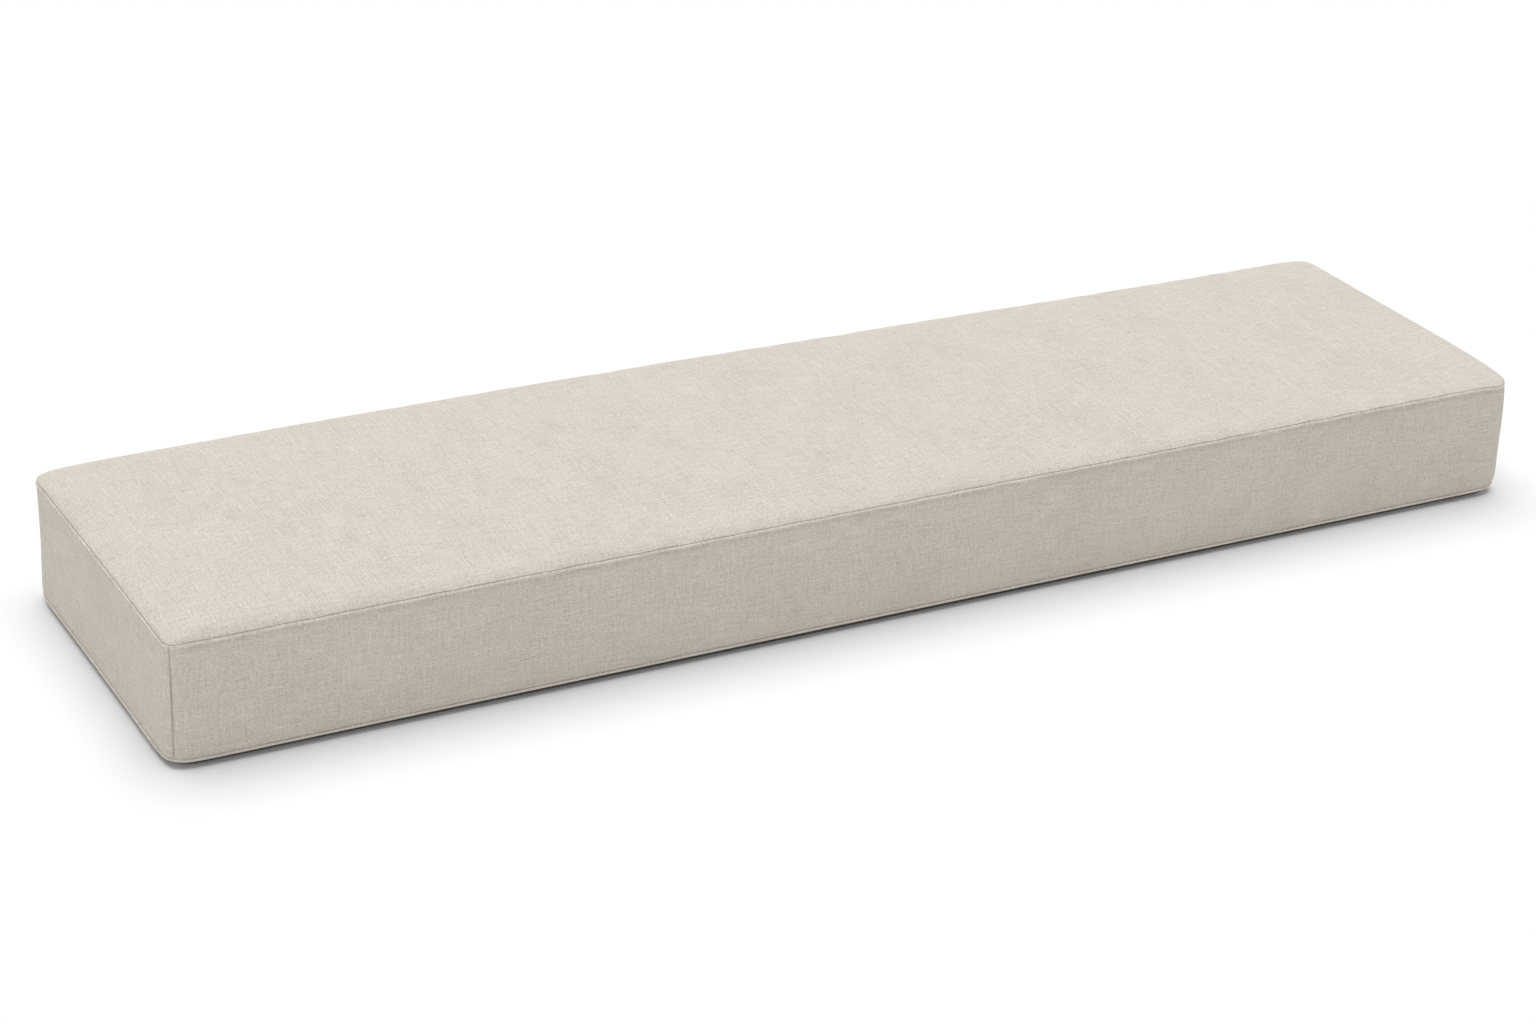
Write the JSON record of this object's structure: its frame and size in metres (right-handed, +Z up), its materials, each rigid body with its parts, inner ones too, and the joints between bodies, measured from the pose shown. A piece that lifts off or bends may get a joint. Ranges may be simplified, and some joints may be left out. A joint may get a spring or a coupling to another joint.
{
  "type": "window seat cushion",
  "caption": "Long rectangular boxed seat cushion with a softly crowned top, knife seams along both edges and an upright seam at each corner, in plain linen-look cloth.",
  "frame": {"origin": "middle of the flat underside, on the surface that the cushion rests on", "axes": "+X along the cushion's length, +Y from its front to its back, +Z up through its crown"},
  "size_m": [1.829, 0.457, 0.179],
  "materials": {
    "cover_cloth": "matt linen-look plain weave in warm greige, with slubs"
  },
  "bodies": {
    "root": {"cushion": "cover_cloth"}
  },
  "joints": []
}
